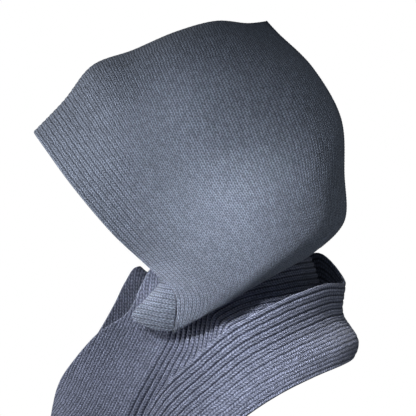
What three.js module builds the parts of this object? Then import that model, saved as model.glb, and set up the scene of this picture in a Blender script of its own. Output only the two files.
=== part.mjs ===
// Knitted snood hood: a loose hood that runs on into two ribbed turns of knit around the neck.
// Millimetres, +Z up. The wearer faces -X and the wearer's left side is at -Y.
// The origin is the top of the head, just under the crown.
import * as THREE from "three";

// Lengths that the section tables are shares of
const HEAD_LENGTH = 200; // brow to back of the head, along X
const HEAD_HEIGHT = 250; // crown to the chin fold, along Z
const HALF_WIDTH = 100; // middle of the head to the side bulge of the hood, along Y

// Fabric and seams
const FABRIC = 3.2; // thickness of the knit
const REST_GAP = 0.3; // air between two pieces that lie on each other
const SEAM_WIDTH = 5; // linked seam down the back
const SEAM_RISE = 1.4;
const SEAM_EDGE_RISE = 0.8;

// Fold along the bottom of the hood
const FOLD_TUCK = 9.7; // how far the knit comes in at the fold
const TURN_TUCK = 3; // and again at the inner turn
const TURN_RISE = 5;
const RETURN_TUCK = 1; // and once more at the top of the turned-up knit
const RETURN_RISE = 20;

// Ribs of the two neck turns
const RIB_PITCH = 7;
const RIB_DEPTH = 1.6;
const COWL_RIB_PITCH = 6;
const COWL_RIB_DEPTH = 1.5;
const COWL_RIBS = 5;
const WRAP_RIBS = 8;

const YARN_BLUE = 0x7c879c;
const YARN_SHADE = 0x6b758b;

// Lengthwise lines of the hood from the face edge to the back seam. Each runs from the ridge
// down the side to the bottom fold. X and Z place the line on the side view, and the last five
// columns are its half width on the way down.
const HOOD_SECTIONS = [
  { ridgeX: -1.060, ridgeZ: -0.400, midX: -0.696, midZ: -0.760, jawX: -0.343, jawZ: -1.034,
    foldX: -0.348, foldZ: -1.180, shoulder: 0.26, temple: 0.60, cheek: 0.70, jowl: 0.60, jaw: 0.67 },
  { ridgeX: -0.905, ridgeZ: -0.272, midX: -0.540, midZ: -0.672, jawX: -0.190, jawZ: -1.032,
    foldX: -0.214, foldZ: -1.122, shoulder: 0.35, temple: 0.71, cheek: 0.80, jowl: 0.80, jaw: 0.80 },
  { ridgeX: -0.764, ridgeZ: -0.134, midX: -0.420, midZ: -0.584, jawX: -0.080, jawZ: -0.984,
    foldX: -0.105, foldZ: -1.071, shoulder: 0.42, temple: 0.75, cheek: 0.84, jowl: 0.91, jaw: 0.88 },
  { ridgeX: -0.560, ridgeZ: -0.072, midX: -0.290, midZ: -0.528, jawX: 0.045, jawZ: -0.924,
    foldX: 0.022, foldZ: -1.008, shoulder: 0.46, temple: 0.76, cheek: 0.84, jowl: 0.95, jaw: 0.92 },
  { ridgeX: -0.350, ridgeZ: 0.000, midX: -0.120, midZ: -0.448, jawX: 0.155, jawZ: -0.872,
    foldX: 0.130, foldZ: -0.960, shoulder: 0.46, temple: 0.75, cheek: 0.80, jowl: 0.93, jaw: 0.89 },
  { ridgeX: -0.150, ridgeZ: 0.044, midX: 0.100, midZ: -0.392, jawX: 0.280, jawZ: -0.828,
    foldX: 0.230, foldZ: -0.920, shoulder: 0.38, temple: 0.62, cheek: 0.67, jowl: 0.78, jaw: 0.74 },
  { ridgeX: 0.010, ridgeZ: 0.036, midX: 0.340, midZ: -0.352, jawX: 0.400, jawZ: -0.800,
    foldX: 0.305, foldZ: -0.896, shoulder: 0.22, temple: 0.37, cheek: 0.42, jowl: 0.50, jaw: 0.45 },
  { ridgeX: 0.105, ridgeZ: 0.044, midX: 0.455, midZ: -0.288, jawX: 0.495, jawZ: -0.752,
    foldX: 0.370, foldZ: -0.864, shoulder: 0, temple: 0, cheek: 0, jowl: 0, jaw: 0 },
];
// How far down its line, from ridge to jaw, each half width is taken
const WIDTH_STATIONS = [
  { name: "shoulder", at: 0.08 },
  { name: "temple", at: 0.30 },
  { name: "cheek", at: 0.57 },
  { name: "jowl", at: 0.81 },
  { name: "jaw", at: 1 },
];
const HOOD_STEPS_ACROSS = 3; // facets between two sections
const HOOD_STEPS_DOWN = [2, 4, 4, 4, 3, 3, 2, 2]; // facets between two points of a section
const JAW_SPANS = 5; // points of a section from the ridge to the jaw

// Inner turn around the neck, from the low front round to the nape. Its upper edge is the front
// opening. The far side has an upper edge of its own, with one loose corner that stands up.
// The last column is the share of the width where the ribs start.
const COWL_ROWS = [
  { topX: -0.970, topY: 0, topZ: -1.592, farX: -0.970, farZ: -1.592,
    lowX: -0.934, lowY: 0, lowZ: -1.784, sag: 0, ribsAt: 0.36 },
  { topX: -0.970, topY: 0.09, topZ: -1.536, farX: -0.965, farZ: -1.544,
    lowX: -0.750, lowY: 0.46, lowZ: -1.744, sag: 0.04, ribsAt: 0.56 },
  { topX: -0.930, topY: 0.24, topZ: -1.408, farX: -0.920, farZ: -1.416,
    lowX: -0.520, lowY: 0.68, lowZ: -1.640, sag: 0.04, ribsAt: 0.70 },
  { topX: -0.865, topY: 0.32, topZ: -1.320, farX: -0.850, farZ: -1.320,
    lowX: -0.350, lowY: 0.82, lowZ: -1.520, sag: 0, ribsAt: 0.64 },
  { topX: -0.730, topY: 0.38, topZ: -1.196, farX: -0.755, farZ: -1.220,
    lowX: -0.250, lowY: 0.90, lowZ: -1.408, sag: -0.10, ribsAt: 0.55 },
  { topX: -0.580, topY: 0.38, topZ: -1.112, farX: -0.670, farZ: -1.104,
    lowX: -0.160, lowY: 0.94, lowZ: -1.320, sag: -0.17, ribsAt: 0.44 },
  { topX: -0.510, topY: 0.40, topZ: -1.004, farX: -0.610, farZ: -1.008,
    lowX: -0.070, lowY: 0.93, lowZ: -1.256, sag: -0.22, ribsAt: 0.34 },
  { topX: -0.450, topY: 0.42, topZ: -0.932, farX: -0.550, farZ: -0.948,
    lowX: 0.000, lowY: 0.89, lowZ: -1.208, sag: -0.19, ribsAt: 0.27 },
  { topX: -0.310, topY: 0.49, topZ: -0.920, farX: -0.474, farZ: -1.024,
    lowX: 0.080, lowY: 0.81, lowZ: -1.164, sag: -0.13, ribsAt: 0.20 },
  { topX: -0.125, topY: 0.61, topZ: -0.884, farX: -0.200, farZ: -0.952,
    lowX: 0.180, lowY: 0.67, lowZ: -1.124, sag: 0, ribsAt: 0.15 },
  { topX: 0.075, topY: 0.58, topZ: -0.844, farX: 0.075, farZ: -0.852,
    lowX: 0.280, lowY: 0.46, lowZ: -1.100, sag: 0.02, ribsAt: 0.12 },
  { topX: 0.215, topY: 0.34, topZ: -0.824, farX: 0.215, farZ: -0.824,
    lowX: 0.355, lowY: 0.24, lowZ: -1.084, sag: 0.03, ribsAt: 0.10 },
  { topX: 0.280, topY: 0, topZ: -0.820, farX: 0.280, farZ: -0.820,
    lowX: 0.390, lowY: 0, lowZ: -1.080, sag: 0.04, ribsAt: 0.10 },
];
const COWL_PLAIN_STEPS = 5;
const COWL_HEM_STEPS = 2;
const COWL_STEPS_ROUND = 2;

// Outer turn, from the low front round to the nape. It leans outwards like a shoulder collar.
const WRAP_ROWS = [
  { topX: -0.940, topY: 0, topZ: -1.756, farZ: -1.760,
    lowX: -0.980, lowY: 0, lowZ: -1.960, waist: 0 },
  { topX: -0.810, topY: 0.46, topZ: -1.712, farZ: -1.712,
    lowX: -0.860, lowY: 0.58, lowZ: -1.928, waist: 0 },
  { topX: -0.610, topY: 0.70, topZ: -1.632, farZ: -1.632,
    lowX: -0.625, lowY: 0.92, lowZ: -1.848, waist: 0 },
  { topX: -0.480, topY: 0.80, topZ: -1.496, farZ: -1.496,
    lowX: -0.400, lowY: 1.12, lowZ: -1.728, waist: 0 },
  { topX: -0.393, topY: 0.90, topZ: -1.380, farZ: -1.380,
    lowX: -0.200, lowY: 1.24, lowZ: -1.600, waist: 0.01 },
  { topX: -0.275, topY: 0.97, topZ: -1.288, farZ: -1.280,
    lowX: -0.005, lowY: 1.26, lowZ: -1.472, waist: 0.01 },
  { topX: -0.105, topY: 0.99, topZ: -1.168, farZ: -1.152,
    lowX: 0.150, lowY: 1.16, lowZ: -1.396, waist: 0.01 },
  { topX: 0.070, topY: 0.93, topZ: -1.088, farZ: -1.056,
    lowX: 0.310, lowY: 0.90, lowZ: -1.344, waist: 0.02 },
  { topX: 0.220, topY: 0.74, topZ: -1.036, farZ: -0.968,
    lowX: 0.450, lowY: 0.56, lowZ: -1.312, waist: 0.04 },
  { topX: 0.376, topY: 0.42, topZ: -1.000, farZ: -0.888,
    lowX: 0.508, lowY: 0.28, lowZ: -1.300, waist: 0.06 },
  { topX: 0.488, topY: 0, topZ: -0.996, farZ: -0.996,
    lowX: 0.530, lowY: 0, lowZ: -1.292, waist: 0.06 },
];
const WRAP_RIBS_AT = 0.06;
const WRAP_WIDTH = 78; // across the band at the side of the neck
const WRAP_HEM_STEPS = 1;
const WRAP_PLAIN_STEPS = 3;
const WRAP_STEPS_ROUND = 2;

// Free edge of the corner of knit that turns in under the chin, from its upper end down
const CHIN_EDGE = [
  { edgeX: -0.440, edgeZ: -0.985, edgeY: 0.575 },
  { edgeX: -0.495, edgeZ: -1.045, edgeY: 0.530 },
  { edgeX: -0.555, edgeZ: -1.108, edgeY: 0.500 },
  { edgeX: -0.550, edgeZ: -1.135, edgeY: 0.500 },
];
const CHIN_STARTS_AT = 3; // facets above the jaw where the corner leaves the face edge
const CHIN_STEPS_ACROSS = 6;
const CHIN_BULGE = 2.5;
const CHIN_HEM_SHARE = 0.35; // of the fabric thickness, where the corner meets the fold
const CHIN_FOLD_ROOM = 1.95; // fabric thicknesses left beside the turned-up knit
const CHIN_GAP = 0.8; // clear of the hood's face edge, mm

const knit = (color) => new THREE.MeshStandardMaterial({ color, roughness: 0.95, metalness: 0 });

// Place on the side view and half width, as shares, turned into a point on the left side
function placed(x, halfWidth, z) {
  return new THREE.Vector3(x * HEAD_LENGTH, -halfWidth * HALF_WIDTH, z * HEAD_HEIGHT);
}

function mirrored(point) {
  return new THREE.Vector3(point.x, -point.y, point.z);
}

// A smooth line through points, read by position in the list
function lineThrough(points, closed = false) {
  const curve = new THREE.CatmullRomCurve3(points, closed, "catmullrom", 0.5);
  const spans = closed ? points.length : points.length - 1;
  return (index) => curve.getPoint(index / spans);
}

// Positions in a list with the given number of facets in each span
function stations(facets) {
  const list = [0];
  facets.forEach((count, span) => {
    for (let k = 1; k <= count; k += 1) {
      list.push(span + k / count);
    }
  });
  return list;
}

// Direction out of the fabric at each point of a grid, across its rows and down its columns
function gridNormals(grid, ring) {
  const last = grid.length - 1;
  return grid.map((row, i) => row.map((point, j) => {
    const before = ring ? grid[(i + last) % grid.length] : grid[Math.max(i - 1, 0)];
    const after = ring ? grid[(i + 1) % grid.length] : grid[Math.min(i + 1, last)];
    const along = after[j].clone().sub(before[j]);
    const down = row[Math.min(j + 1, row.length - 1)].clone().sub(row[Math.max(j - 1, 0)]);
    return along.cross(down).normalize();
  }));
}

// A wall of fabric between two grids of the same shape. A ring closes on itself, and a sewn edge
// is the last row, where the second half of the row lies on the first.
function fabricWall(outer, inner, { ring = false, sewn = false } = {}) {
  const rows = outer.length;
  const columns = outer[0].length;
  const positions = [];
  const triangle = (a, b, c) => {
    [a, b, c].forEach((p) => positions.push(p.x, p.y, p.z));
  };
  const quad = (a, b, c, d) => {
    triangle(a, b, c);
    triangle(a, c, d);
  };
  const spans = ring ? rows : rows - 1;
  for (let i = 0; i < spans; i += 1) {
    const next = (i + 1) % rows;
    for (let j = 0; j + 1 < columns; j += 1) {
      quad(outer[i][j], outer[next][j], outer[next][j + 1], outer[i][j + 1]);
      quad(inner[i][j], inner[i][j + 1], inner[next][j + 1], inner[next][j]);
    }
    const end = columns - 1;
    quad(inner[i][0], inner[next][0], outer[next][0], outer[i][0]);
    quad(outer[i][end], outer[next][end], inner[next][end], inner[i][end]);
  }
  if (!ring) {
    const openRows = sewn ? [0] : [0, rows - 1];
    openRows.forEach((i) => {
      for (let j = 0; j + 1 < columns; j += 1) {
        const face = [outer[i][j], outer[i][j + 1], inner[i][j + 1], inner[i][j]];
        quad(...(i === 0 ? face : face.reverse()));
      }
    });
  }
  const geometry = new THREE.BufferGeometry();
  geometry.setAttribute("position", new THREE.Float32BufferAttribute(positions, 3));
  geometry.computeVertexNormals();
  return geometry;
}

function shifted(grid, normals, distance) {
  return grid.map((row, i) => row.map((point, j) => {
    const by = typeof distance === "function" ? distance(i, j) : distance;
    return point.clone().addScaledVector(normals[i][j], by);
  }));
}

// The nine points of one hood section, from the ridge down to the top of the turned-up knit
function hoodSection(row) {
  const side = lineThrough([
    placed(row.ridgeX, 0, row.ridgeZ),
    placed(row.midX, 0, row.midZ),
    placed(row.jawX, 0, row.jawZ),
  ]);
  const points = [side(0)];
  WIDTH_STATIONS.forEach(({ name, at }) => {
    const point = side(at * 2);
    point.y = -row[name] * HALF_WIDTH;
    points.push(point);
  });
  const jaw = points[points.length - 1];
  const inward = (tuck) => Math.min(0, jaw.y + tuck);
  const foldZ = row.foldZ * HEAD_HEIGHT;
  const foldX = row.foldX * HEAD_LENGTH;
  const turnTuck = row.jaw === 0 ? TURN_TUCK : 0;
  const returnTuck = row.jaw === 0 ? TURN_TUCK + RETURN_TUCK : 0;
  points.push(new THREE.Vector3(foldX, inward(FOLD_TUCK), foldZ));
  points.push(new THREE.Vector3(
    foldX - turnTuck,
    inward(FOLD_TUCK + TURN_TUCK),
    foldZ + TURN_RISE,
  ));
  points.push(new THREE.Vector3(
    foldX - returnTuck,
    inward(FOLD_TUCK + TURN_TUCK + RETURN_TUCK),
    foldZ + RETURN_RISE,
  ));
  return points;
}

// Outer face of the hood: rows run from the face edge to the back seam, and each row from the
// left turned-up edge over the ridge to the right one
function hoodGrid() {
  const down = stations(HOOD_STEPS_DOWN);
  const sections = HOOD_SECTIONS.map((row) => {
    const left = hoodSection(row);
    const right = left.slice(1).map(mirrored).reverse();
    const line = lineThrough([...right, ...left]);
    return down.map((at) => line(right.length + at));
  });
  const across = stations(HOOD_SECTIONS.slice(1).map(() => HOOD_STEPS_ACROSS));
  const beyondSeam = sections[sections.length - 2];
  const lines = down.map((at, j) => lineThrough([
    ...sections.map((section) => section[j]),
    mirrored(beyondSeam[j]),
  ]));
  return across.map((i) => {
    const left = lines.map((line) => line(i));
    left[0].y = 0;
    if (i === HOOD_SECTIONS.length - 1) {
      left.forEach((point) => {
        point.y = 0;
      });
    }
    const right = left.slice(1).map(mirrored);
    return [...left.reverse(), ...right];
  });
}

function hoodNormals(grid) {
  const normals = gridNormals(grid, false);
  const ridge = (grid[0].length - 1) / 2;
  normals.forEach((row) => {
    row[ridge].setY(0).normalize();
  });
  const seam = normals[normals.length - 1];
  seam[ridge].copy(seam[ridge - 1]).add(normals[normals.length - 2][ridge]);
  seam.forEach((normal) => {
    normal.setY(0).normalize();
  });
  return normals;
}

function makeHood(grid, normals) {
  const geometry = fabricWall(grid, shifted(grid, normals, -FABRIC), { sewn: true });
  const mesh = new THREE.Mesh(geometry, knit(YARN_BLUE));
  mesh.name = "hood";
  return mesh;
}

// Linked seam that stands up a little along the back, from the top corner down to the fold
function makeBackSeam(grid, normals) {
  const seamRow = grid[grid.length - 1];
  const seamNormals = normals[normals.length - 1];
  const ridge = (seamRow.length - 1) / 2;
  const foldAt = HOOD_STEPS_DOWN.slice(0, JAW_SPANS + 1).reduce((sum, count) => sum + count);
  const line = [];
  for (let j = 1; j <= foldAt; j += 1) {
    line.push({ point: seamRow[ridge - j], normal: seamNormals[ridge - j] });
  }
  const section = [
    { y: -SEAM_WIDTH / 2, rise: SEAM_EDGE_RISE },
    { y: -SEAM_WIDTH / 4, rise: SEAM_RISE },
    { y: SEAM_WIDTH / 4, rise: SEAM_RISE },
    { y: SEAM_WIDTH / 2, rise: SEAM_EDGE_RISE },
  ];
  const outer = line.map(({ point, normal }) => section.map(({ y, rise }) => (
    point.clone().addScaledVector(normal, REST_GAP + rise).setY(y)
  )));
  const inner = line.map(({ point, normal }) => section.map(({ y }) => (
    point.clone().addScaledVector(normal, REST_GAP).setY(y)
  )));
  const mesh = new THREE.Mesh(fabricWall(outer, inner), knit(YARN_SHADE));
  mesh.name = "back_seam";
  return mesh;
}

// Heights across a ribbed band: pairs of groove and crest, then plain knit
function ribbedShares(startShare, ribs, pitch, width, plainBefore, plainAfter) {
  const list = [];
  for (let k = 0; k < plainBefore; k += 1) {
    list.push({ share: startShare * k / plainBefore, crest: 0, ribbed: 0 });
  }
  for (let k = 0; k < ribs; k += 1) {
    const share = startShare + k * pitch / width;
    list.push({ share, crest: 0, ribbed: 1 });
    list.push({ share: share + pitch / width / 2, crest: 1, ribbed: 1 });
  }
  const endShare = startShare + ribs * pitch / width;
  for (let k = 0; k <= plainAfter; k += 1) {
    list.push({ share: endShare + (1 - endShare) * k / plainAfter, crest: 0, ribbed: 0 });
  }
  return list;
}

// A ring of fabric from rows of upper and lower edges, right side first and then the left
function ringBand(rows, edges, sharesOf, bend, stepsRound) {
  const right = rows.map((row) => edges(row, true));
  const left = rows.slice(1, -1).map((row) => edges(row, false)).reverse();
  const all = [...right, ...left];
  const top = lineThrough(all.map((row) => row.top), true);
  const low = lineThrough(all.map((row) => row.low), true);
  const bends = lineThrough(all.map((row) => (
    new THREE.Vector3(row.bend * HALF_WIDTH, 0, row.ribsAt)
  )), true);
  const count = all.length * stepsRound;
  const flat = [];
  for (let k = 0; k < count; k += 1) {
    const at = k / stepsRound;
    flat.push([top(at), top(at).lerp(low(at), 0.5), low(at)]);
  }
  const normals = gridNormals(flat, true);
  return flat.map(([topPoint, , lowPoint], k) => {
    const { x: amount, z: ribsAt } = bends(k / stepsRound);
    const outward = normals[k][1];
    return sharesOf(ribsAt, topPoint.distanceTo(lowPoint)).map(({ share }) => (
      topPoint.clone().lerp(lowPoint, share).addScaledVector(outward, amount * bend(share))
    ));
  });
}

// Inner turn: its table is the outer face, and the wall lies inside it
function makeCowl() {
  const sharesOf = (ribsAt, width) => ribbedShares(
    ribsAt, COWL_RIBS, COWL_RIB_PITCH, width, COWL_PLAIN_STEPS, COWL_HEM_STEPS,
  );
  const edges = (row, far) => {
    const top = placed(far ? row.farX : row.topX, row.topY, far ? row.farZ : row.topZ);
    const low = placed(row.lowX, row.lowY, row.lowZ);
    const { sag: bend, ribsAt } = row;
    return far
      ? { top: mirrored(top), low: mirrored(low), bend, ribsAt }
      : { top, low, bend, ribsAt };
  };
  const bulge = (share) => Math.sin(Math.PI * share);
  const grid = ringBand(COWL_ROWS, edges, sharesOf, bulge, COWL_STEPS_ROUND);
  const normals = gridNormals(grid, true);
  const pattern = sharesOf(0, 1);
  const groove = (i, j) => (pattern[j].crest - 1) * COWL_RIB_DEPTH * pattern[j].ribbed;
  const outer = shifted(grid, normals, groove);
  const mesh = new THREE.Mesh(
    fabricWall(outer, shifted(grid, normals, -FABRIC), { ring: true }),
    knit(YARN_SHADE),
  );
  mesh.name = "inner_neck_turn";
  return mesh;
}

// Outer turn: its table is the inner face, which lies on the inner turn at the front
function makeWrap() {
  const shares = ribbedShares(
    WRAP_RIBS_AT, WRAP_RIBS, RIB_PITCH, WRAP_WIDTH, WRAP_HEM_STEPS, WRAP_PLAIN_STEPS,
  );
  const edges = (row, far) => {
    const top = placed(row.topX, row.topY, far ? row.farZ : row.topZ);
    const low = placed(row.lowX, row.lowY, row.lowZ);
    const bend = row.waist;
    return far
      ? { top: mirrored(top), low: mirrored(low), bend, ribsAt: WRAP_RIBS_AT }
      : { top, low, bend, ribsAt: WRAP_RIBS_AT };
  };
  const waist = (share) => -Math.sin(2 * Math.PI * share ** 1.5);
  const grid = ringBand(WRAP_ROWS, edges, () => shares, waist, WRAP_STEPS_ROUND);
  const normals = gridNormals(grid, true);
  const rib = (i, j) => FABRIC + (shares[j].crest - 1) * RIB_DEPTH * shares[j].ribbed;
  const mesh = new THREE.Mesh(
    fabricWall(shifted(grid, normals, rib), grid, { ring: true }),
    knit(YARN_BLUE),
  );
  mesh.name = "outer_neck_turn";
  return mesh;
}

// Corner under the chin: it goes on from the folded part of the face edge of the hood
function makeChinFold(name, far, hoodFace, hoodOut) {
  const ridge = (hoodFace[0].length - 1) / 2;
  const jawAt = HOOD_STEPS_DOWN.slice(0, JAW_SPANS).reduce((sum, count) => sum + count);
  const foldAt = jawAt + HOOD_STEPS_DOWN[JAW_SPANS];
  const edge = lineThrough(CHIN_EDGE.map((row) => placed(row.edgeX, row.edgeY, row.edgeZ)));
  const down = [];
  for (let j = jawAt - CHIN_STARTS_AT; j <= foldAt; j += 1) {
    down.push(j);
  }
  const creaseNormals = down.map((j) => hoodOut[0][ridge - j].clone());
  const crease = down.map((j) => {
    const point = hoodFace[0][ridge - j].clone();
    const ahead = point.clone().sub(hoodFace[1][ridge - j]).normalize();
    const nearFold = Math.max(0, j - jawAt) / HOOD_STEPS_DOWN[JAW_SPANS];
    return point.addScaledVector(ahead, CHIN_GAP + nearFold * CHIN_FOLD_ROOM * FABRIC);
  });
  const free = down.map((j, k) => edge(k * (CHIN_EDGE.length - 1) / (down.length - 1)));
  const grid = [];
  for (let k = 0; k <= CHIN_STEPS_ACROSS; k += 1) {
    const share = k / CHIN_STEPS_ACROSS;
    grid.push(crease.map((point, j) => {
      const place = point.clone().lerp(free[j], share);
      place.y -= CHIN_BULGE * Math.sin(Math.PI * share);
      return place;
    }));
  }
  const normals = gridNormals(grid, false);
  normals[0] = creaseNormals;
  const thinned = (i, j) => {
    const beside = i === 0 && j > CHIN_STARTS_AT;
    return beside ? -FABRIC * CHIN_HEM_SHARE : -FABRIC;
  };
  const inner = shifted(grid, normals, thinned);
  const flip = (rows) => rows.map((row) => row.map(mirrored)).reverse();
  const mesh = new THREE.Mesh(
    far ? fabricWall(flip(grid), flip(inner)) : fabricWall(grid, inner),
    knit(YARN_BLUE),
  );
  mesh.name = name;
  return mesh;
}

const garment = new THREE.Group();
const hoodFace = hoodGrid();
const hoodOut = hoodNormals(hoodFace);
garment.add(makeHood(hoodFace, hoodOut));
garment.add(makeBackSeam(hoodFace, hoodOut));
garment.add(makeCowl());
garment.add(makeWrap());
garment.add(makeChinFold("chin_fold_left", false, hoodFace, hoodOut));
garment.add(makeChinFold("chin_fold_right", true, hoodFace, hoodOut));

export default garment;
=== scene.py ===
# %% [markdown]
# # A knitted snood hood
# A snood hood is one long piece of soft double knit. It is folded over the head, linked up the
# back, and runs on into two turns of ribbed knit round the neck. This lesson models it as it
# hangs when worn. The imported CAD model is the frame: it gives every piece its place and size.

import bpy
import math
import numpy as np
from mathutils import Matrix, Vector


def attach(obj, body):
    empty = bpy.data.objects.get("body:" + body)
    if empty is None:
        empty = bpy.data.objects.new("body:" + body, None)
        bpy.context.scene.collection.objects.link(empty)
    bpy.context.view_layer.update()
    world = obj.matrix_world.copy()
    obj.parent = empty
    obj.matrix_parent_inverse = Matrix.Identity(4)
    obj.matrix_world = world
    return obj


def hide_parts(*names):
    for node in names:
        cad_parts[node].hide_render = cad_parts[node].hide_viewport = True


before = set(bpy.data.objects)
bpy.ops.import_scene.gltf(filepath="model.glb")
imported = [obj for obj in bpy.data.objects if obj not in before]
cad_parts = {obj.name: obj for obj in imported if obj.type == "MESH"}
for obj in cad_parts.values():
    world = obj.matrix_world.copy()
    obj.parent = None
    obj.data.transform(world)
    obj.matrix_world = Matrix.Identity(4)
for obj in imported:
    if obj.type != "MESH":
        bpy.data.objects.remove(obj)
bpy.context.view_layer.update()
bpy.ops.object.select_all(action="DESELECT")

# %% [markdown]
# ## The sizes that everything is a share of
# A knitter measures a head first. The tables below are shares of three lengths, so the whole
# hood grows or shrinks with them. X runs from the face (minus) to the back of the head, Y from
# the left side (minus) to the right, and Z is up. The origin is the top of the head.

# %% Named sizes, in metres
HEAD_LENGTH = 0.200
HEAD_HEIGHT = 0.250
HALF_WIDTH = 0.100
FABRIC = 0.0032
SHARES = np.array([HEAD_LENGTH, HALF_WIDTH, HEAD_HEIGHT])
STITCH_WIDE = 0.0047  # one column of stitches, which a knitter calls a wale
STITCH_HIGH = 0.0028  # one row of stitches, called a course
print("stitches to 10 cm:", round(0.1 / STITCH_WIDE), "by", round(0.1 / STITCH_HIGH))

# %% [markdown]
# ## Smooth lines through a few points
# Cloth has no corners, so a few measured points are joined by a Catmull-Rom curve, which passes
# through each of them. Blender's own curves could do this one line at a time. Here whole rows of
# points go through at once in NumPy, because a knitted surface needs thousands of them.


# %% A curve through points, and positions on it
def line_through(points, closed=False):
    p = np.asarray(points, float)
    count = len(p)
    if not closed:
        p = np.concatenate([[2 * p[0] - p[1]], p, [2 * p[-1] - p[-2]]])

    def at(positions):
        t = np.atleast_1d(np.asarray(positions, float))
        start = np.floor(t).astype(int)
        if closed:
            picks = [(start + k) % count for k in (-1, 0, 1, 2)]
        else:
            start = np.clip(start, 0, count - 2)
            picks = [start + k for k in range(4)]
        w = (t - start).reshape(-1, *[1] * (p.ndim - 1))
        a, b, c, d = (p[k] for k in picks)
        leaving, arriving = (c - a) / 2, (d - b) / 2
        return (
            (2 * b - 2 * c + leaving + arriving) * w**3
            + (3 * c - 3 * b - 2 * leaving - arriving) * w**2
            + leaving * w
            + b
        )

    return at


def stations(steps):
    places = [0.0]
    for span, count in enumerate(steps):
        places += [span + (k + 1) / count for k in range(count)]
    return np.array(places)


def unit(vectors):
    return vectors / np.maximum(np.linalg.norm(vectors, axis=-1, keepdims=True), 1e-12)


def smooth_step(low, high, value):
    t = np.clip((value - low) / (high - low), 0, 1)
    return t * t * (3 - 2 * t)


print("halfway along a test line:", line_through([[0, 0], [1, 0], [1, 1]])(0.5).round(3).tolist())

# %% [markdown]
# ## Out of the cloth
# The knit has a thickness, so each point needs to know which way is out. That is the cross
# product of the two directions of the grid. A ring closes on itself, so its first and last rows
# are neighbours.


# %% The outward direction at each point of a grid
def outward(grid, ring=False):
    if ring:
        along = np.roll(grid, -1, axis=0) - np.roll(grid, 1, axis=0)
    else:
        along = np.concatenate([grid[1:], grid[-1:]]) - np.concatenate([grid[:1], grid[:-1]])
    after = np.concatenate([grid[:, 1:], grid[:, -1:]], 1)
    before = np.concatenate([grid[:, :1], grid[:, :-1]], 1)
    return unit(np.cross(along, after - before))


def lengths(grid, axis):
    """Mean distance from the first line of the grid to each other one."""
    steps = np.linalg.norm(np.diff(grid, axis=axis), axis=-1)
    return np.concatenate([[0], np.cumsum(steps.mean(axis=1 - axis))])


flat_grid = np.array([[[0.0, 0, 0], [0, 1, 0]], [[1, 0, 0], [1, 1, 0]]])
print("up is out of a flat grid:", outward(flat_grid)[0, 0])

# %% [markdown]
# ## A sheet of knit with a real thickness
# A Solidify modifier would leave square rims. Real knit is round at an edge, because the last
# stitches curl over. So the front and back faces leave the middle of the cloth by half its
# thickness, and both come back to it at a free edge along a quarter circle. The two faces share
# the points of the edge, which closes the mesh. The stitch grid is kept as the UV map: U counts
# wales and V counts courses, so the pattern follows every fold.


# %% Build a closed sheet from its middle surface
def edge_roundness(distance):
    near = np.clip(1 - distance / (FABRIC / 2), 0, 1)
    return np.sqrt(1 - near**2)


def knit_sheet(name, middle, out, front, back, stitches, marks, ring=False, sewn=False):
    """front and back are the distances from the middle to the two faces of the cloth."""
    rows, columns = middle.shape[:2]
    outer = np.arange(rows * columns).reshape(rows, columns)
    inner = outer + rows * columns
    inner[:, 0], inner[:, -1] = outer[:, 0], outer[:, -1]
    if not ring:
        inner[0] = outer[0]
        if not sewn:
            inner[-1] = outer[-1]
    if sewn:
        half = columns // 2
        for side in (outer, inner):
            side[-1, half + 1 :] = side[-1, :half][::-1]
    points = np.concatenate([
        (middle + out * front[..., None]).reshape(-1, 3),
        (middle - out * back[..., None]).reshape(-1, 3),
    ])
    first = np.arange(rows if ring else rows - 1)
    after = (first + 1) % rows
    faces, maps = [], []
    for side, turned in ((outer, False), (inner, True)):
        square = np.stack([
            side[first, :-1], side[after, :-1],
            side[after, 1:], side[first, 1:],
        ], -1).reshape(-1, 4)
        chart = np.stack([
            stitches[first, :-1], stitches[first + 1, :-1],
            stitches[first + 1, 1:], stitches[first, 1:],
        ], -2).reshape(-1, 4, 2)
        faces.append(square[:, ::-1] if turned else square)
        maps.append(chart[:, ::-1] if turned else chart)
    faces, maps = np.concatenate(faces), np.concatenate(maps)
    used, places = np.unique(faces, return_inverse=True)
    mesh = bpy.data.meshes.new(name)
    mesh.from_pydata(points[used].tolist(), [], places.reshape(-1, 4).tolist())
    chart = mesh.uv_layers.new(name="stitches")
    chart.data.foreach_set("uv", maps.reshape(-1).astype(np.float32))
    for key, values in marks.items():
        spread = np.concatenate([values.reshape(-1)] * 2)[used]
        mark = mesh.attributes.new(key, "FLOAT", "POINT")
        mark.data.foreach_set("value", spread.astype(np.float32))
    mesh.polygons.foreach_set("use_smooth", [True] * len(mesh.polygons))
    piece = bpy.data.objects.new(name, mesh)
    bpy.context.scene.collection.objects.link(piece)
    print(f"{name}: {2 * len(faces)} triangles")
    return piece


# %% [markdown]
# ## The hood's lines
# Each row of the table is one line from the ridge down the side: where the ridge, the middle,
# the jaw and the bottom fold lie in the side view, then the half widths at five places on the
# way down. The first line is the face edge and the last is the back seam. The knit turns in at
# the bottom fold and goes up again inside.

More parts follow.
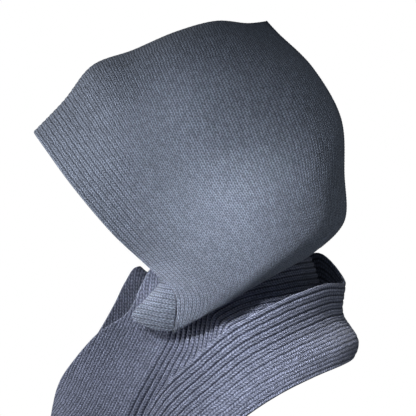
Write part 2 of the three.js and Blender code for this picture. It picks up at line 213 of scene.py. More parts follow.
# %% Table of the hood
HOOD_LINES = np.array([
    # ridge x, z      mid x, z        jaw x, z        fold x, z      shoulder temple cheek jowl jaw
    [-1.060, -0.400, -0.696, -0.760, -0.343, -1.034, -0.348, -1.180, 0.26, 0.60, 0.70, 0.60, 0.67],
    [-0.905, -0.272, -0.540, -0.672, -0.190, -1.032, -0.214, -1.122, 0.35, 0.71, 0.80, 0.80, 0.80],
    [-0.764, -0.134, -0.420, -0.584, -0.080, -0.984, -0.105, -1.071, 0.42, 0.75, 0.84, 0.91, 0.88],
    [-0.560, -0.072, -0.290, -0.528, 0.045, -0.924, 0.022, -1.008, 0.46, 0.76, 0.84, 0.95, 0.92],
    [-0.350, 0.000, -0.120, -0.448, 0.155, -0.872, 0.130, -0.960, 0.46, 0.75, 0.80, 0.93, 0.89],
    [-0.150, 0.044, 0.100, -0.392, 0.280, -0.828, 0.230, -0.920, 0.38, 0.62, 0.67, 0.78, 0.74],
    [0.010, 0.036, 0.340, -0.352, 0.400, -0.800, 0.305, -0.896, 0.22, 0.37, 0.42, 0.50, 0.45],
    [0.105, 0.044, 0.455, -0.288, 0.495, -0.752, 0.370, -0.864, 0.00, 0.00, 0.00, 0.00, 0.00],
])
WIDTHS_AT = np.array([0.08, 0.30, 0.57, 0.81, 1.0])  # of the way from ridge to jaw
FOLD_TUCK, TURN_TUCK, TURN_RISE, RETURN_TUCK, RETURN_RISE = 0.0097, 0.003, 0.005, 0.001, 0.020
JAW_AT, FOLD_AT = 5, 6  # places of the jaw and the bottom fold in a line's points
BACK_LINE = len(HOOD_LINES) - 1
LEFT = np.array([1, -1, 1])  # turns a point to the other side


def hood_line(row):
    ridge, middle, jaw, fold = (np.array([row[k], 0, row[k + 1]]) * SHARES for k in (0, 2, 4, 6))
    side = line_through([ridge, middle, jaw])
    points = np.concatenate([side(0), side(WIDTHS_AT * 2)])
    points[1:, 1] = -row[8:] * HALF_WIDTH
    sewn = row[12] == 0
    in_by = lambda tuck: min(0, points[-1, 1] + tuck)
    turned = [
        [fold[0], in_by(FOLD_TUCK), fold[2]],
        [fold[0] - TURN_TUCK * sewn, in_by(FOLD_TUCK + TURN_TUCK), fold[2] + TURN_RISE],
        [fold[0] - (TURN_TUCK + RETURN_TUCK) * sewn,
         in_by(FOLD_TUCK + TURN_TUCK + RETURN_TUCK), fold[2] + RETURN_RISE],
    ]
    return np.concatenate([points, turned])


print("face edge, ridge to fold (mm):", (hood_line(HOOD_LINES[0])[:7] * 1000).round().tolist())


# %% The hood's outer face at any two positions
def hood_face(across, down):
    lines = []
    for row in HOOD_LINES:
        left = hood_line(row)
        right = (left[1:] * LEFT)[::-1]
        lines.append(line_through(np.concatenate([right, left]))(len(right) + down))
    lines.append(lines[-2] * LEFT)
    left = line_through(lines)(across)
    left[np.isclose(across, BACK_LINE), :, 1] = 0
    left[:, np.isclose(down, 0), 1] = 0
    return left


EDGE_STEPS = np.array([0.004, 0.013, 0.026, 0.045])  # finer steps where an edge is round
HEM_AT, HEM_STRETCH = 8, 2.3
RIB_SAMPLES = 5
HOOD_RIBS = 56
hood_down = stations([7, 9, 9, 8, 7, 6, 3, 3])
hood_down = np.unique(np.concatenate([hood_down, HEM_AT - EDGE_STEPS * HEM_STRETCH]))
hood_across = np.linspace(0, BACK_LINE, HOOD_RIBS * RIB_SAMPLES + 1)
hood_across = np.unique(np.concatenate([hood_across, EDGE_STEPS]))
left = hood_face(hood_across, hood_down)
hood_grid = np.concatenate([left[:, ::-1], left[:, 1:] * LEFT], 1)
hood_out = outward(hood_grid)
ridge = len(hood_down) - 1
hood_out[:, ridge, 1] = 0
hood_out[-1] = (hood_out[-1] + hood_out[-1, ::-1]) / 2
hood_out[-1, :, 1] = 0
hood_out[-1, ridge] = hood_out[-1, ridge - 1] + hood_out[-2, ridge]
hood_out = unit(hood_out)
from_face = lengths(hood_grid, 0)
rib_spacing = from_face[-1] / HOOD_RIBS
print("hood grid:", hood_grid.shape, "ribs every", round(rib_spacing * 1000, 2), "mm")

# %% [markdown]
# ## The ribs of the hood
# The cloth sinks back a little between two wales, so the hood shows fine lines that
# run parallel to the face edge. They could be painted on, but at the ridge and along the face
# edge they stand out against the light, so they are shaped into the sheet. The groove is also
# stored as an attribute, which the yarn colour uses to paint shade into the bottom of a groove.


# %% Hood of knit
def rib_wave(phase, sharpness):
    """0 on the crest of a rib, 1 in the groove."""
    return (0.5 + 0.5 * np.cos(2 * np.pi * phase)) ** sharpness


HOOD_RIB_DEPTH, HOOD_RIB_SHARPNESS = 0.00045, 2.2
FADE_FROM, FADE_TO, FADE_SHARE = 0.02, 0.110, 0.75  # the ribs are strongest at the face edge
CREASE_FROM, CREASE_FULL = 4.5, 5.0  # places down the face edge where the chin fold leaves it
CREASE_SHARP = 10  # how much tighter the edge is there
middle = hood_grid - hood_out * FABRIC / 2
round_over = lengths(hood_grid, 1)
from_hem = np.minimum(round_over, round_over[-1] - round_over)
one_side = smooth_step(CREASE_FROM, CREASE_FULL, hood_down) * (hood_down <= FOLD_AT + 0.5)
creased = np.concatenate([one_side[::-1], one_side[1:]])
roundness = edge_roundness(from_face[:, None] * (1 + CREASE_SHARP * creased))
roundness = roundness * edge_roundness(from_hem)[None, :]
fade = 1 - FADE_SHARE * smooth_step(FADE_FROM, FADE_TO, from_face)
wales = hood_across / BACK_LINE * HOOD_RIBS
wave = (rib_wave(wales, HOOD_RIB_SHARPNESS) * fade)[:, None] * np.ones(hood_grid.shape[1])
front = roundness * (FABRIC / 2 - HOOD_RIB_DEPTH * wave)
back = roundness * (FABRIC / 2 - HOOD_RIB_DEPTH * (1 - wave))
courses = (round_over - round_over[ridge]) / STITCH_HIGH
hood_stitches = np.stack(np.broadcast_arrays(wales[:, None], courses[None, :]), -1)
# the groove mark carries painted shade for the rib grooves, and the rim mark the rounded edges
hood_knit = knit_sheet(
    "hood_knit", middle, hood_out, front, back, hood_stitches,
    {"groove": wave, "rim": 1 - roundness}, sewn=True,
)

# %% [markdown]
# ## The corners under the chin
# At the bottom of the face opening the knit turns in under the chin, so its wales lie level
# instead of slanting. Each corner is a small sheet that leaves the folded part of the face edge
# and ends in a soft free edge. It bulges a little, as a folded corner does.

# %% Chin folds
CHIN_EDGE = np.array([
    # x, y, z of the free edge, from its upper end down
    [-0.410, -0.585, -0.985],
    [-0.480, -0.545, -1.045],
    [-0.550, -0.510, -1.105],
    [-0.552, -0.505, -1.138],
]) * SHARES
CHIN_STARTS = 4.35  # place down the face edge where the corner begins
NEXT_ACROSS = 0.3333  # a little way back from the face edge
CHIN_GAP, CHIN_FOLD_ROOM = 0.0004, 0.3  # in metres, and in thicknesses of the cloth
CHIN_BULGE = 0.0025
CHIN_SAG = 0.003  # how far the lower free edge hangs in a soft curve
CHIN_THIN = 0.85  # a stretched corner is thinner
CHIN_RIB_PITCH, CHIN_RIB_SLOPE, CHIN_RIB_DEPTH = 0.0047, math.radians(10), 0.0005


def chin_fold(name, far):
    down = np.linspace(CHIN_STARTS, FOLD_AT, 71)
    share = np.unique(np.concatenate([np.linspace(0, 1, 25), EDGE_STEPS, 1 - EDGE_STEPS]))
    face = hood_face(np.array([0, NEXT_ACROSS]), down)
    crease = face[0] + unit(face[0] - face[1]) * (
        CHIN_GAP + np.maximum(0, down - JAW_AT)[:, None] * CHIN_FOLD_ROOM * FABRIC
    )
    free_at = (down - CHIN_STARTS) * (len(CHIN_EDGE) - 1) / (FOLD_AT - CHIN_STARTS)
    free = line_through(CHIN_EDGE)(free_at)
    grid = crease[None] + (free - crease)[None] * share[:, None, None]
    grid[..., 1] -= CHIN_BULGE * np.sin(np.pi * share)[:, None]
    lowest = smooth_step(JAW_AT, FOLD_AT, down)[None]
    grid[..., 2] -= CHIN_SAG * np.sin(np.pi * share)[:, None] * lowest
    if far:
        grid = (grid * LEFT)[::-1]
    out = outward(grid)
    reach, drop = lengths(grid, 0), lengths(grid, 1)
    from_crease = (reach if not far else reach[-1] - reach) * CREASE_SHARP
    from_free = reach[-1] - reach if not far else reach
    ends = edge_roundness(np.minimum(from_crease, from_free))[:, None]
    round_edge = ends * edge_roundness(np.minimum(drop, drop[-1] - drop))[None]
    level = -grid[..., 2] * math.cos(CHIN_RIB_SLOPE) - grid[..., 0] * math.sin(CHIN_RIB_SLOPE)
    wave = rib_wave(level / CHIN_RIB_PITCH, 2.0)
    half = round_edge * FABRIC / 2 * CHIN_THIN
    front = half - round_edge * CHIN_RIB_DEPTH * wave
    rows_along = (reach / STITCH_HIGH)[:, None] * np.ones_like(level)
    piece = knit_sheet(
        name, grid - out * FABRIC / 2, out, front, half,
        np.stack([level / CHIN_RIB_PITCH, rows_along], -1),
        {"groove": wave, "rim": 1 - round_edge},
    )
    return piece, (reach[-1], drop[-1])


chin_left_knit, chin_flat = chin_fold("chin_fold_left_knit", False)
chin_right_knit, _ = chin_fold("chin_fold_right_knit", True)
print("chin fold cut flat (mm):", [round(v * 1000) for v in chin_flat])

# %% [markdown]
# ## Two turns round the neck
# Each turn is a ring. A row of its table gives the upper edge, the lower edge and how far the
# cloth between them bows out. The rows run from the low front round the side to the nape. The
# far side mirrors them, apart from an upper edge of its own, because a worn knit never hangs
# quite even. The wales run along the ring, so the ribs follow its sweep.


# %% A ring of knit from its rows
def ring_band(near, far, shares, bow, at):
    """near and far are (upper edge, lower edge, bow) for each row, front to nape."""
    flip = np.array([LEFT, LEFT])
    edges = np.concatenate([far[0] * flip, (near[0][1:-1])[::-1]])
    bows = np.concatenate([far[1], near[1][1:-1][::-1]])
    rim = line_through(edges, closed=True)(at)
    amount = line_through(bows[:, None], closed=True)(at)[:, 0] * HALF_WIDTH
    halfway = np.stack([rim[:, 0], rim.mean(axis=1), rim[:, 1]], 1)
    out = outward(halfway, ring=True)[:, 1]
    grid = rim[:, :1] + (rim[:, 1:] - rim[:, :1]) * shares[None, :, None]
    return grid + out[:, None] * (amount[:, None] * bow(shares)[None])[..., None]


def around(table, at):
    """Values of a table's column all the way round, the same on both sides."""
    return line_through(np.concatenate([table, table[1:-1][::-1]]), closed=True)(at)


def places_round(rows, steps, fine_steps=None, fine_from=0, fine_to=0):
    """Positions round a ring, with more of them between two rows of the table."""
    counts = [fine_steps if fine_from <= k < fine_to else steps for k in range(rows - 1)]
    one_side = stations(counts)
    return np.concatenate([one_side, 2 * (rows - 1) - one_side[1:-1][::-1]])


def ring_stitches(grid, wales):
    """Stitch counts that meet where the ring closes."""
    closed = np.concatenate([grid, grid[:1]])
    rounds = lengths(closed, 0)
    courses = rounds / rounds[-1] * round(rounds[-1] / STITCH_HIGH)
    wales = np.broadcast_to(wales, grid.shape[:2])
    return np.stack(np.broadcast_arrays(np.concatenate([wales, wales[:1]]), courses[:, None]), -1)


def band_shares(width, spacing, steps_near_edge):
    shares = np.linspace(0, 1, round(width / spacing) + 1)
    near = np.array(steps_near_edge) / width
    return np.unique(np.concatenate([shares, near, 1 - near]))


NEAR_EDGE = [0.00015, 0.0005, 0.001, 0.0016]  # metres from a round edge
FINE_RIB_DEPTH = 0.0002  # of the plain knit, on both turns
print("rings close on themselves")

# %% [markdown]
# ## The inner turn
# It lies closest to the neck: plain knit at the throat that drapes into an open V, and five
# strong ribs along its lower part. The table is its outer face, so the cloth lies inside it.

# %% Table and mesh of the inner turn
INNER_TURN = np.array([
    # top x, y, z          far top x, z     low x, y, z           sag  ribs from
    [-0.970, 0.00, -1.592, -0.970, -1.592, -0.934, 0.00, -1.784, 0.00, 0.95],
    [-0.970, 0.09, -1.536, -0.965, -1.544, -0.750, 0.46, -1.744, 0.04, 0.87],
    [-0.930, 0.24, -1.408, -0.920, -1.416, -0.520, 0.68, -1.640, 0.04, 0.76],
    [-0.865, 0.32, -1.320, -0.850, -1.320, -0.350, 0.82, -1.520, 0.00, 0.64],
    [-0.730, 0.38, -1.196, -0.755, -1.220, -0.250, 0.90, -1.408, -0.10, 0.55],
    [-0.580, 0.38, -1.112, -0.670, -1.104, -0.160, 0.94, -1.320, -0.17, 0.41],
    [-0.510, 0.40, -1.004, -0.610, -1.008, -0.070, 0.93, -1.256, -0.22, 0.29],
    [-0.450, 0.42, -0.932, -0.550, -0.948, 0.000, 0.89, -1.208, -0.19, 0.22],
    [-0.310, 0.49, -0.920, -0.474, -1.024, 0.080, 0.81, -1.164, -0.13, 0.12],
    [-0.125, 0.61, -0.884, -0.200, -0.952, 0.180, 0.67, -1.124, 0.00, 0.06],
    [0.075, 0.58, -0.844, 0.075, -0.852, 0.280, 0.46, -1.100, 0.02, 0.04],
    [0.215, 0.34, -0.824, 0.215, -0.824, 0.355, 0.24, -1.084, 0.03, 0.04],
    [0.280, 0.00, -0.820, 0.280, -0.820, 0.390, 0.00, -1.080, 0.04, 0.04],
])
INNER_WIDTH, INNER_SPACING = 0.130, 0.0010
# the last value is how much shade is painted into the fine grooves of the plain knit
INNER_PITCH, INNER_RIB_DEPTH, FINE_GROOVE_SHADE = 0.006, 0.0016, 0.1
RIBS_BEGIN, RIBS_FULL = -0.6, 0.3  # counted in ribs from the table's start


def edges_of(top_x, top_y, top_z, low_x, low_y, low_z, bow):
    top = np.stack([top_x, -top_y, top_z], -1) * SHARES
    low = np.stack([low_x, -low_y, low_z], -1) * SHARES
    return np.stack([top, low], 1), bow


t = INNER_TURN.T
inner_near = edges_of(t[0], t[1], t[2], t[5], t[6], t[7], t[8])
inner_far = edges_of(t[3], t[1], t[4], t[5], t[6], t[7], t[8])
shares = band_shares(INNER_WIDTH, INNER_SPACING, NEAR_EDGE)
inner_at = places_round(len(INNER_TURN), steps=5, fine_steps=16, fine_from=1, fine_to=8)
grid = ring_band(inner_near, inner_far, shares, lambda s: np.sin(np.pi * s), inner_at)
out = outward(grid, ring=True)
across = np.linalg.norm(np.diff(grid, axis=1), axis=2).sum(axis=1)
starts = around(INNER_TURN[:, 9:], inner_at)[:, 0]
rib_phase = (shares[None] - starts[:, None]) * across[:, None] / INNER_PITCH
ribbed = smooth_step(RIBS_BEGIN, RIBS_FULL, rib_phase)
deep = rib_wave(rib_phase, 1.8) * ribbed
fine = rib_wave(rib_phase, 2.0) * (1 - ribbed)
roundness = edge_roundness(np.minimum(shares, 1 - shares) * INNER_WIDTH)[None]
inner_turn_knit = knit_sheet(
    "inner_neck_turn_knit", grid - out * FABRIC / 2, out,
    roundness * (FABRIC / 2 - INNER_RIB_DEPTH * deep - FINE_RIB_DEPTH * fine),
    roundness * (FABRIC / 2) * np.ones((len(grid), 1)),
    ring_stitches(grid, rib_phase),
    {"groove": deep + FINE_GROOVE_SHADE * fine, "rim": (1 - roundness) * np.ones((len(grid), 1))},
    ring=True,
)

# %% [markdown]
# ## The outer turn
# The last turn leans outwards like a shoulder collar. Its ribs are strongest along the upper
# edge and fade into plain knit below. The table is its inner face.

# %% Table and mesh of the outer turn
OUTER_TURN = np.array([
    # top x, y, z          far top z  low x, y, z           waist
    [-0.940, 0.00, -1.756, -1.760, -0.980, 0.00, -1.960, 0.00],
    [-0.810, 0.46, -1.712, -1.712, -0.860, 0.58, -1.928, 0.00],
    [-0.610, 0.70, -1.632, -1.632, -0.625, 0.92, -1.848, 0.00],
    [-0.480, 0.80, -1.496, -1.496, -0.400, 1.12, -1.728, 0.00],
    [-0.393, 0.90, -1.380, -1.380, -0.200, 1.24, -1.600, 0.01],
    [-0.275, 0.97, -1.288, -1.280, -0.005, 1.26, -1.472, 0.01],
    [-0.105, 0.99, -1.168, -1.152, 0.150, 1.16, -1.396, 0.01],
    [0.070, 0.93, -1.088, -1.056, 0.310, 0.90, -1.344, 0.02],
    [0.220, 0.74, -1.036, -0.968, 0.450, 0.56, -1.312, 0.04],
    [0.376, 0.42, -1.000, -0.888, 0.508, 0.28, -1.300, 0.06],
    [0.488, 0.00, -0.996, -0.996, 0.530, 0.00, -1.292, 0.06],
])
OUTER_WIDTH, OUTER_SPACING = 0.078, 0.0009
OUTER_PITCH, OUTER_RIBS_AT, OUTER_RIB_DEPTH = 0.007, 0.06, 0.0010
OUTER_FADE_FROM, OUTER_FADE_TO, OUTER_FADE_SHARE = 3.0, 8.5, 0.80  # counted in ribs
t = OUTER_TURN.T
outer_near = edges_of(t[0], t[1], t[2], t[4], t[5], t[6], t[7])
outer_far = edges_of(t[0], t[1], t[3], t[4], t[5], t[6], t[7])
shares = band_shares(OUTER_WIDTH, OUTER_SPACING, NEAR_EDGE)
outer_at = places_round(len(OUTER_TURN), steps=8)
grid = ring_band(
    outer_near, outer_far, shares, lambda s: -np.sin(2 * np.pi * s**1.5), outer_at
)
out = outward(grid, ring=True)
rib_phase = (shares - OUTER_RIBS_AT) * OUTER_WIDTH / OUTER_PITCH
fade = 1 - OUTER_FADE_SHARE * smooth_step(OUTER_FADE_FROM, OUTER_FADE_TO, rib_phase)
deep = rib_wave(rib_phase, 5.0) * fade * smooth_step(-0.6, -0.2, rib_phase)
fine = rib_wave(shares * OUTER_WIDTH / STITCH_WIDE, 1.5)
roundness = edge_roundness(np.minimum(shares, 1 - shares) * OUTER_WIDTH)
whole = np.ones((len(grid), 1))
outer_turn_knit = knit_sheet(
    "outer_neck_turn_knit", grid + out * FABRIC / 2, out,
    whole * roundness * (FABRIC / 2 - OUTER_RIB_DEPTH * deep - FINE_RIB_DEPTH * fine),
    whole * roundness * (FABRIC / 2),
    ring_stitches(grid, rib_phase[None]),
    {"groove": whole * deep, "rim": whole * (1 - roundness)}, ring=True,
)

# %% [markdown]
# ## The linked seam down the back
# The two sides of the hood are joined loop by loop, which leaves a raised chain down the back.
# A chain stitch is two plump legs of yarn that lean together. One leg is modelled from a sphere
# and copied along the seam, each copy turned to follow it, and the copies become one mesh.

# %% Chain of linked stitches
SEAM_PITCH, LEG_LONG, LEG_WIDE, LEG_THICK = 0.0028, 0.0020, 0.0010, 0.0006
SEAM_LIFT, LEG_APART, LEG_LEAN = 0.0003, 0.0013, 0.55
SEAM_STARTS = 0.12  # place down the back line, just below the top corner
LOOK_AHEAD = 0.002  # metres along the seam, to find its direction
bpy.ops.mesh.primitive_uv_sphere_add(segments=8, ring_count=6, radius=1.0)
leg = bpy.context.object
bpy.ops.transform.resize(value=(LEG_LONG, LEG_WIDE, LEG_THICK))
bpy.ops.object.transform_apply(location=False, rotation=False, scale=True)
leg_points = np.array([v.co[:] for v in leg.data.vertices])
leg_faces = [list(p.vertices) for p in leg.data.polygons]
bpy.data.objects.remove(leg)
seam_down = np.linspace(SEAM_STARTS, FOLD_AT, 1200)
seam = hood_face(np.array([float(BACK_LINE)]), seam_down)[0]
seam_run = np.concatenate([[0], np.cumsum(np.linalg.norm(np.diff(seam, axis=0), axis=1))])
points, faces = [], []
for place in np.arange(SEAM_PITCH / 2, seam_run[-1], SEAM_PITCH):
    here, next_place = (
        np.array([np.interp(run, seam_run, seam[:, k]) for k in range(3)])
        for run in (place, place + LOOK_AHEAD)
    )
    ahead = unit(next_place - here)
    up = np.array([-ahead[2], 0, ahead[0]])
    up = up if up[0] > 0 or up[2] > 0 else -up
    for side in (-1, 1):
        along = unit(ahead + side * LEG_LEAN * np.array([0, 1.0, 0]))
        wide = unit(np.cross(up, along))
        centre = here + up * SEAM_LIFT + np.array([0, side * LEG_APART, 0])
        turned = leg_points @ np.stack([along, wide, up]) + centre
        faces += [[len(points) + k for k in face] for face in leg_faces]
        points += turned.tolist()
mesh = bpy.data.meshes.new("back_seam_chain")
mesh.from_pydata(points, [], faces)
mesh.polygons.foreach_set("use_smooth", [True] * len(faces))
back_seam_chain = bpy.data.objects.new("back_seam_chain", mesh)
bpy.context.scene.collection.objects.link(back_seam_chain)
print("seam:", round(seam_run[-1] * 1000), "mm of chain,", len(faces), "faces")

# %% [markdown]
# ## Knit stitches as a node group
# A plain knit stitch looks like a V: two legs that lean together, one V per wale and course. The
# group reads the stitch map. It folds each wale down its middle, leans the rows to make the legs
# slant, and gives a height for the bump and a mask for painted shade in the gaps between the
# legs. A random tone for each leg of yarn makes the heather's pepper and salt.


# %% Small helpers for node trees, and the stitch group
def add_node(tree, kind, **settings):
    node = tree.nodes.new(kind)
    for key, value in settings.items():
        if key.startswith("in_"):
            node.inputs[int(key[3:])].default_value = value
        else:
            setattr(node, key, value)
    return node


def maths(tree, operation, first, second=None, third=None, clamp=False):
    node = add_node(tree, "ShaderNodeMath", operation=operation, use_clamp=clamp)
    for socket, value in zip(node.inputs, (first, second, third)):
        if value is None:
            continue
        if isinstance(value, (int, float)):
            socket.default_value = value
        else:
            tree.links.new(value, socket)
    return node.outputs[0]


def new_group(name, inputs, outputs):
    tree = bpy.data.node_groups.new(name, "ShaderNodeTree")
    for label, kind, value in inputs:
        socket = tree.interface.new_socket(label, in_out="INPUT", socket_type=kind)
        if value is not None:
            socket.default_value = value
    for label, kind in outputs:
        tree.interface.new_socket(label, in_out="OUTPUT", socket_type=kind)
    return tree, tree.nodes.new("NodeGroupInput").outputs, tree.nodes.new("NodeGroupOutput").inputs


stitch_group, given, result = new_group(
    "knit stitches",
    [("Stitch Map", "NodeSocketVector", None), ("Slant", "NodeSocketFloat", 1.6),
     ("Unevenness", "NodeSocketFloat", 0.25)],
    [("Height", "NodeSocketFloat"), ("Gap Shade", "NodeSocketFloat"), ("Tone", "NodeSocketFloat")],
)
tree = stitch_group
wander = add_node(tree, "ShaderNodeTexNoise", in_2=0.31, in_3=3.0)
tree.links.new(given["Stitch Map"], wander.inputs["Vector"])
split = add_node(tree, "ShaderNodeSeparateXYZ")
tree.links.new(given["Stitch Map"], split.inputs[0])
shift = maths(tree, "SUBTRACT", wander.outputs[0], 0.5)
shift = maths(tree, "MULTIPLY", shift, given["Unevenness"])
across = maths(tree, "ADD", split.outputs[0], shift)
along = maths(tree, "ADD", split.outputs[1], maths(tree, "MULTIPLY", shift, 2.0))
side = maths(tree, "ABSOLUTE", maths(tree, "SUBTRACT", maths(tree, "FRACT", across), 0.5))
swell = maths(tree, "SINE", maths(tree, "MULTIPLY", side, 2 * math.pi))
leg_shape = maths(tree, "POWER", swell, 0.6)
leaning = maths(tree, "ADD", along, maths(tree, "MULTIPLY", side, given["Slant"]))
beat = maths(tree, "COSINE", maths(tree, "MULTIPLY", leaning, 2 * math.pi))
loop = maths(tree, "MULTIPLY_ADD", beat, 0.3, 0.7)
height = maths(tree, "MULTIPLY", leg_shape, loop, clamp=True)
tree.links.new(height, result["Height"])
# mask for painted shade: darker where the stitch is low, between its legs
gap_shade = maths(tree, "POWER", maths(tree, "SUBTRACT", 1.0, height, clamp=True), 1.15)
tree.links.new(gap_shade, result["Gap Shade"])
which = tree.nodes.new("ShaderNodeCombineXYZ")
tree.links.new(maths(tree, "FLOOR", maths(tree, "MULTIPLY", across, 2.0)), which.inputs[0])
tree.links.new(maths(tree, "FLOOR", leaning), which.inputs[1])
lot = add_node(tree, "ShaderNodeTexWhiteNoise", noise_dimensions="2D")
tree.links.new(which.outputs[0], lot.inputs["Vector"])
tree.links.new(lot.outputs["Value"], result["Tone"])
print("stitch group:", len(tree.nodes), "nodes")

# %% [markdown]
# ## Yarn colour as a node group
# This yarn is a soft heather of blue and grey fibres. Up close the stitches are speckled, and
# over a hand's breadth the dye drifts a little. Shade is painted into the gaps between stitches
# and the grooves of the ribs, and the rims where the cloth rounds over are paler. All of that is
# one colour that each material mixes from its yarn colour and its dark colour, which serves both
# for the dark fibres of the heather and for the painted shade.

# %% The yarn group
yarn_group, given, result = new_group(
    "heather yarn",
    [("Vector", "NodeSocketVector", None), ("Yarn", "NodeSocketColor", (0.5, 0.5, 0.5, 1)),
     ("Shade", "NodeSocketColor", (0.1, 0.1, 0.1, 1)), ("Gap Shade", "NodeSocketFloat", 0.0),
     ("Groove Shade", "NodeSocketFloat", 0.0), ("Depth", "NodeSocketFloat", 0.5),
     ("Rim", "NodeSocketFloat", 0.0), ("Tone", "NodeSocketFloat", 0.5)],
    [("Color", "NodeSocketColor"), ("Fluff", "NodeSocketFloat")],
)
tree = yarn_group


def mixed(tree, factor, first, second):
    node = add_node(tree, "ShaderNodeMix", data_type="RGBA", blend_type="MIX")
    sockets = (node.inputs[0], node.inputs[6], node.inputs[7])
    for socket, value in zip(sockets, (factor, first, second)):
        if isinstance(value, (int, float, tuple)):
            socket.default_value = value
        else:
            tree.links.new(value, socket)
    return node.outputs[2]


def noise(tree, vector, scale, detail, low, high):
    cloud = add_node(tree, "ShaderNodeTexNoise")
    cloud.inputs["Scale"].default_value = scale
    cloud.inputs["Detail"].default_value = detail
    tree.links.new(vector, cloud.inputs["Vector"])
    spread = add_node(tree, "ShaderNodeMapRange", in_1=low, in_2=high)
    tree.links.new(cloud.outputs[0], spread.inputs[0])
    return spread.outputs[0]


PALE_FIBRE, DRIFT_COLOUR = (0.66, 0.72, 0.84, 1), (0.27, 0.31, 0.42, 1)
PALE_RIM_COLOUR = (0.55, 0.60, 0.68, 1)
TONE_SHARE, SPECKLE_SHARE, DRIFT_SHARE, FIBRE_SHARE, PALE_RIM_SHARE = 0.55, 0.25, 0.22, 0.28, 0.12
speckle = noise(tree, given["Vector"], 620.0, 2.0, 0.32, 0.68)
fibre = noise(tree, given["Vector"], 1900.0, 2.0, 0.35, 0.65)
drift = noise(tree, given["Vector"], 14.0, 3.0, 0.3, 0.7)
soft = mixed(tree, maths(tree, "MULTIPLY", drift, DRIFT_SHARE), given["Yarn"], DRIFT_COLOUR)
salt = maths(tree, "MULTIPLY", speckle, SPECKLE_SHARE)
pepper = maths(tree, "MULTIPLY_ADD", given["Tone"], TONE_SHARE, salt, clamp=True)
heather = mixed(tree, pepper, soft, given["Shade"])
bright = mixed(tree, maths(tree, "MULTIPLY", fibre, FIBRE_SHARE), heather, PALE_FIBRE)
# painted shade: the colour is pulled towards the dark colour in the gaps between stitches and in
# the rib grooves
shade_amount = maths(tree, "ADD", maths(tree, "MULTIPLY", given["Gap Shade"], 1.05),
             maths(tree, "MULTIPLY", given["Groove Shade"], given["Depth"]), clamp=True)
shaded = mixed(tree, shade_amount, bright, given["Shade"])
# paler at the rims, where the cloth rounds over at a free edge
pale_rims = mixed(tree, maths(tree, "MULTIPLY", given["Rim"], PALE_RIM_SHARE), shaded, PALE_RIM_COLOUR)
tree.links.new(pale_rims, result["Color"])
fluff = maths(tree, "MULTIPLY_ADD", fibre, 0.35, maths(tree, "MULTIPLY", speckle, 0.3))
tree.links.new(fluff, result["Fluff"])
print("yarn group:", len(tree.nodes), "nodes")

# %% [markdown]
# ## Three finishes from the two groups
# The hood is the plain knit, the two turns are the ribbed knit, which is a touch bluer, and the
# seam is twisted sewing yarn. Wool has no gloss. Its pale rim of light comes from fine fibres
# that stand off the surface, which is what the sheen of the shader does.


# %% Knit materials
def knit_material(name, yarn, shade, bump, slant=0.0, uneven=0.0, groove_shade=0.0, stitched=True):
    material = bpy.data.materials.new(name)
    material.use_nodes = True
    tree = material.node_tree
    skin = tree.nodes["Principled BSDF"]
    where = tree.nodes.new("ShaderNodeTexCoord")
    colour = add_node(tree, "ShaderNodeGroup", node_tree=yarn_group)
    tree.links.new(where.outputs["Object"], colour.inputs["Vector"])
    colour.inputs["Yarn"].default_value = (*yarn, 1)
    colour.inputs["Shade"].default_value = (*shade, 1)
    colour.inputs["Depth"].default_value = groove_shade
    relief = colour.outputs["Fluff"]
    if stitched:
        chart = add_node(tree, "ShaderNodeUVMap", uv_map="stitches")
        stitch = add_node(tree, "ShaderNodeGroup", node_tree=stitch_group)
        tree.links.new(chart.outputs[0], stitch.inputs["Stitch Map"])
        stitch.inputs["Slant"].default_value = slant
        stitch.inputs["Unevenness"].default_value = uneven
        for label in ("Gap Shade", "Tone"):
            tree.links.new(stitch.outputs[label], colour.inputs[label])
        # the groove mark sets where shade is painted into the rib grooves
        for label, socket in (("groove", "Groove Shade"), ("rim", "Rim")):
            mark = add_node(tree, "ShaderNodeAttribute", attribute_name=label)
            tree.links.new(mark.outputs["Fac"], colour.inputs[socket])
        relief = maths(tree, "MULTIPLY_ADD", relief, 0.35, stitch.outputs["Height"])
    lift = add_node(tree, "ShaderNodeBump")
    lift.inputs["Strength"].default_value = bump
    lift.inputs["Distance"].default_value = 0.0009
    tree.links.new(relief, lift.inputs["Height"])
    tree.links.new(lift.outputs[0], skin.inputs["Normal"])
    tree.links.new(colour.outputs["Color"], skin.inputs["Base Color"])
    rough = maths(tree, "MULTIPLY_ADD", colour.outputs["Fluff"], 0.15, 0.85)
    tree.links.new(rough, skin.inputs["Roughness"])
    skin.inputs["Specular IOR Level"].default_value = 0.15
    skin.inputs["Sheen Weight"].default_value = 0.18
    skin.inputs["Sheen Roughness"].default_value = 0.55
    return material


plain_knit = knit_material(
    "soft plain knit", (0.378, 0.448, 0.605), (0.062, 0.074, 0.105),
    slant=1.6, uneven=0.6, bump=1.0, groove_shade=0.35,
)
rib_knit = knit_material(
    "soft ribbed knit", (0.350, 0.382, 0.570), (0.042, 0.050, 0.085),
    slant=1.4, uneven=0.5, bump=1.0, groove_shade=0.5,
)
seam_yarn = knit_material(
    "linking yarn", (0.235, 0.275, 0.365), (0.06, 0.075, 0.11),
    bump=0.5, stitched=False,
)
print("materials:", [m.name for m in (plain_knit, rib_knit, seam_yarn)])

# %% [markdown]
# ## What each piece stands for
# Every piece takes the place of a solid in the frame and moves with its body.

# %% Ride and replace
for piece, node, material, slot in (
    (hood_knit, "hood", plain_knit, "blue_knit"),
    (chin_left_knit, "chin_fold_left", plain_knit, "blue_knit"),
    (chin_right_knit, "chin_fold_right", plain_knit, "blue_knit"),
    (inner_turn_knit, "inner_neck_turn", rib_knit, "blue_rib"),
    (outer_turn_knit, "outer_neck_turn", rib_knit, "blue_rib"),
    (back_seam_chain, "back_seam", seam_yarn, "blue_rib"),
):
    piece.data.materials.append(material)
    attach(piece, "root")
    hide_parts(node)
print("declared", 5, "sheets")

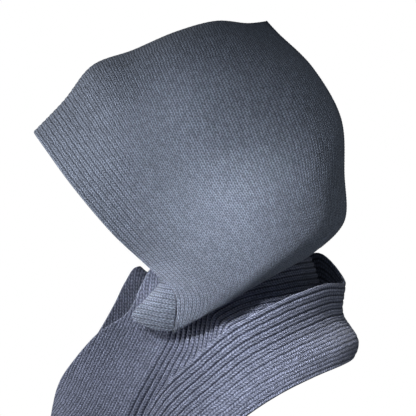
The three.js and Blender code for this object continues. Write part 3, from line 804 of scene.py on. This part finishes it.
# %% [markdown]
# ## Floor, light and camera
# The knit shows best when the light rakes across it. Small panels with a grid light only the
# cheek of the hood, the chin fold and the turns, so the bottom fold throws its shadow on the neck
# and the crown stays dim. Two open panels stand at the face, one fills from low behind, and the
# world gives the white backdrop.


# %% Studio
def aim(thing, target):
    thing.rotation_euler = (Vector(target) - thing.location).to_track_quat("-Z", "Y").to_euler()


def panel(name, place, size, watts, target, spread):
    bpy.ops.object.light_add(type="AREA", location=place)
    light = bpy.context.object
    light.name = name
    light.data.shape = "DISK"
    light.data.size = size
    light.data.energy = watts
    light.data.spread = math.radians(spread)
    aim(light, target)


FLOOR_Z, FLOOR_RADIUS = -0.90, 1.15  # low enough to leave the fill light above it
bpy.ops.mesh.primitive_circle_add(
    vertices=96, radius=FLOOR_RADIUS, fill_type="NGON", location=(0, 0, FLOOR_Z)
)
floor = bpy.context.object
floor.name = "floor"
pale = bpy.data.materials.new("pale floor")
pale.use_nodes = True
paint = pale.node_tree.nodes["Principled BSDF"]
paint.inputs["Base Color"].default_value = (0.82, 0.82, 0.82, 1)
paint.inputs["Roughness"].default_value = 0.9
floor.data.materials.append(pale)
MIDDLE, CHEEK, COLLAR = (-0.02, -0.06, -0.22), (0.03, -0.09, -0.215), (0.06, -0.12, -0.375)
JAW, BROW, CHIN = (0, -0.09, -0.27), (-0.14, -0.06, -0.13), (-0.092, -0.055, -0.252)
OPEN = 180
LIGHTS = [
    # name, place, size, watts, target, spread in degrees
    ("main light with a grid", (-0.780, -0.541, 0.361), 0.2, 0.19, JAW, 26),
    ("collar light with a grid", (-0.116, -0.741, 0.406), 0.2, 0.13, COLLAR, 20),
    ("cheek light with a grid", (-0.483, -0.780, 0.437), 0.2, 0.155, CHEEK, 16),
    ("brow light with a grid", (-0.910, -0.266, -0.200), 0.2, 0.03, BROW, 20),
    ("chin light with a grid", (-0.620, -0.620, -0.280), 0.06, 0.011, CHIN, 6),
    ("low panel at the face", (-0.456, -0.137, -0.298), 0.2, 0.75, MIDDLE, OPEN),
    ("high panel at the face", (-0.483, 0.022, -0.049), 0.2, 0.50, MIDDLE, OPEN),
    ("low fill", (0.562, -0.730, -0.720), 0.5, 0.6, MIDDLE, OPEN),
]
for row in LIGHTS:
    panel(*row)

world = bpy.data.worlds.new("white studio")
bpy.context.scene.world = world
world.use_nodes = True
tree = world.node_tree
sky = tree.nodes["Background"]
sky.inputs[0].default_value = (0.86, 0.94, 1.0, 1)
sky.inputs[1].default_value = 0.12
backdrop = add_node(tree, "ShaderNodeBackground", in_0=(1, 1, 1, 1), in_1=1.0)
choose = tree.nodes.new("ShaderNodeMixShader")
seen = tree.nodes.new("ShaderNodeLightPath")
tree.links.new(seen.outputs["Is Camera Ray"], choose.inputs[0])
tree.links.new(sky.outputs[0], choose.inputs[1])
tree.links.new(backdrop.outputs[0], choose.inputs[2])
tree.links.new(choose.outputs[0], tree.nodes["World Output"].inputs[0])
bpy.context.scene.view_settings.view_transform = "Standard"

VIEW_DISTANCE, VIEW_WIDTH, SENSOR = 1.6, 0.416, 36  # 416 mm fill the picture at the middle
bpy.ops.object.camera_add(location=(-0.037, -VIEW_DISTANCE, -0.176), rotation=(math.pi / 2, 0, 0))
camera = bpy.context.object
camera.data.sensor_width = SENSOR
camera.data.lens = SENSOR * VIEW_DISTANCE / VIEW_WIDTH
bpy.context.scene.camera = camera
print("camera lens (mm):", round(camera.data.lens, 1))
